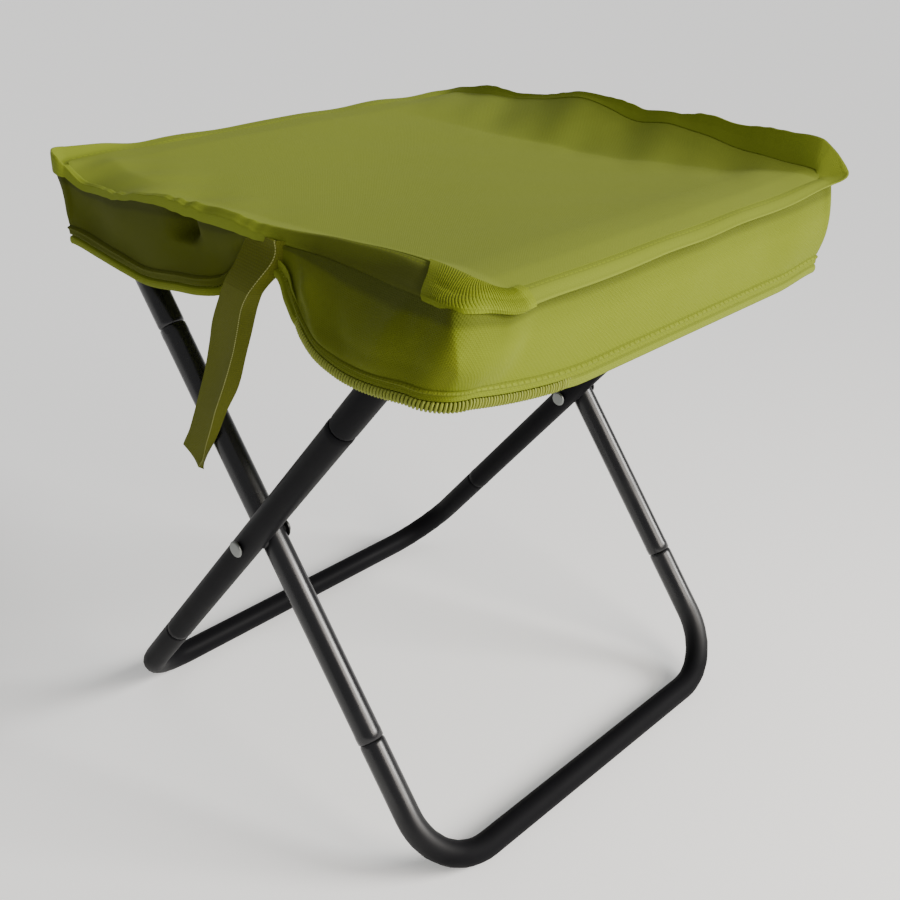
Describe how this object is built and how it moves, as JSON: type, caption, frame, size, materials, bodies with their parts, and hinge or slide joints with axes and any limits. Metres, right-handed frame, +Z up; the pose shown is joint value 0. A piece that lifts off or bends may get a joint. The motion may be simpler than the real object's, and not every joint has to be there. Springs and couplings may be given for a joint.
{
  "type": "folding stool",
  "caption": "Folding stool: two crossed steel tube loops on pivots carry a fabric seat whose zip-edged cover hangs over the bars, with a webbing strap at one end.",
  "frame": {"origin": "on the floor, in the middle of the box round the whole stool", "axes": "+Z up; +Y along the tube bars, away from the end with the strap; +X towards the foot of loop B, the loop that runs nearer the far end"},
  "size_m": [0.3358, 0.3432, 0.389],
  "materials": {
    "tube_satin": "satin black powder coat",
    "tube_gloss": "gloss black paint",
    "zinc_steel": "zinc plated",
    "black_nylon": "plain moulded",
    "black_steel": "black plated",
    "seat_canvas": "plain woven, coated",
    "wall_canvas": "plain woven, coated",
    "rim_binding": "ribbed binding tape",
    "sling_canvas": "plain woven",
    "zip_tape": "woven tape",
    "zip_coil": "moulded coil",
    "zip_metal": "enamelled zinc",
    "strap_webbing": "woven webbing"
  },
  "bodies": {
    "frame_a": {"foot_bend_a": "tube_satin", "top_bend_a": "tube_satin", "leg_tube_a_near": "tube_satin", "leg_tube_a_far": "tube_satin", "pivot_rivet_near": "zinc_steel", "pivot_rivet_far": "zinc_steel", "pivot_washer_near": "black_nylon", "pivot_washer_far": "black_nylon", "tail_washer_near": "black_steel", "tail_washer_far": "black_steel", "sling_right": "sling_canvas", "seat_panel_right": "seat_canvas", "rim_band_right": "rim_binding", "side_wall_right": "wall_canvas", "end_wall_near_right": "wall_canvas", "end_wall_far_right": "wall_canvas", "zip_tape_right": "zip_tape", "zip_coil_right": "zip_coil"},
    "frame_b": {"foot_bend_b": "tube_gloss", "top_bend_b": "tube_gloss", "leg_tube_b_near": "tube_gloss", "leg_tube_b_far": "tube_gloss", "sling_left": "sling_canvas", "seat_panel_left": "seat_canvas", "rim_band_left": "rim_binding", "side_wall_left": "wall_canvas", "end_wall_near_left": "wall_canvas", "end_wall_far_left": "wall_canvas", "zip_tape_left": "zip_tape", "zip_coil_left": "zip_coil"},
    "strap_root": {"strap_tab": "strap_webbing"},
    "strap": {"strap": "strap_webbing"},
    "zip_slider": {"zip_slider": "zip_metal"},
    "zip_pull": {"zip_pull": "zip_metal"}
  },
  "joints": [
    {"name": "fold", "type": "hinge", "parent": "frame_a", "child": "frame_b", "pos_m": [-0.00085, 0, 0.18257], "axis": [0, 1, 0], "range_deg": [0, 70], "deforming": ["seat_panel_right", "seat_panel_left", "sling_right", "sling_left", "rim_band_right", "rim_band_left", "end_wall_near_right", "end_wall_near_left", "end_wall_far_right", "end_wall_far_left", "zip_tape_right", "zip_tape_left", "zip_coil_right", "zip_coil_left", "strap_tab", "strap"]},
    {"name": "strap_fold", "type": "hinge", "parent": "frame_a", "child": "strap_root", "pos_m": [-0.00085, 0, 0.18257], "axis": [0, 1, 0], "range_deg": [0, 36]},
    {"name": "strap_swing", "type": "hinge", "parent": "strap_root", "child": "strap", "pos_m": [-0.00851, -0.15303, 0.33473], "axis": [-1, 0, 0], "range_deg": [0, 75]},
    {"name": "zip_run", "type": "slide", "parent": "frame_b", "child": "zip_slider", "axis": [0, -1, 0], "range_m": [0, 0.215]},
    {"name": "pull_swing", "type": "hinge", "parent": "zip_slider", "child": "zip_pull", "pos_m": [-0.16615, 0.11147, 0.30647], "axis": [0, 1, 0], "range_deg": [0, 120]}
  ],
  "couplings": [
    {"joint": "strap_fold", "follows": "fold", "ratio": 0.5}
  ]
}
